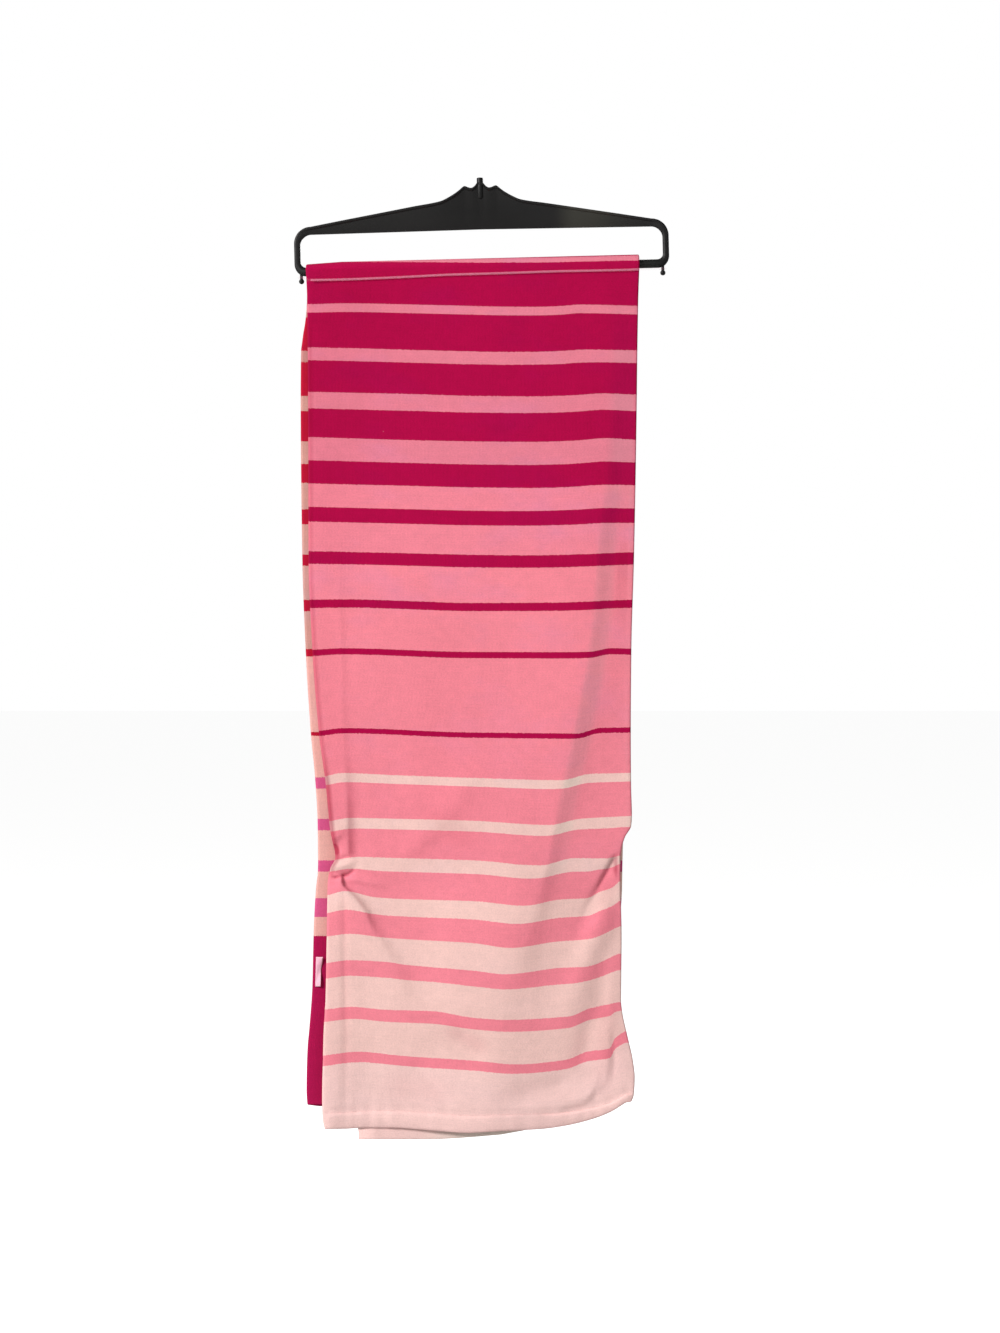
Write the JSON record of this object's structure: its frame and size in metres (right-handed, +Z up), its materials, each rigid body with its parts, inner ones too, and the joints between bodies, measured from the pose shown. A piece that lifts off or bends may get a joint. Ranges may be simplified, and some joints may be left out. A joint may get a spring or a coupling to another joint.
{
  "type": "beach towel on a plastic hanger",
  "caption": "Striped velour beach towel folded in thirds lengthwise and hung at mid-length over the bar of a flat black plastic hanger, with a thin elastic cord across it.",
  "frame": {"origin": "tip of the boss at the top of the hanger's plate, where the hanger is held", "axes": "+Z up, +X to the viewer's right along the hanger, -Y towards the viewer and the front fall of the towel"},
  "size_m": [0.3926, 0.0385, 1.0056],
  "materials": {
    "hanger_plastic": "satin",
    "velour": "matte",
    "clear_elastic": "satin",
    "label_tape": "satin"
  },
  "bodies": {
    "root": {"hanger_frame": "hanger_plastic", "towel": "velour", "retainer_cord": "clear_elastic", "label": "label_tape"}
  },
  "joints": []
}
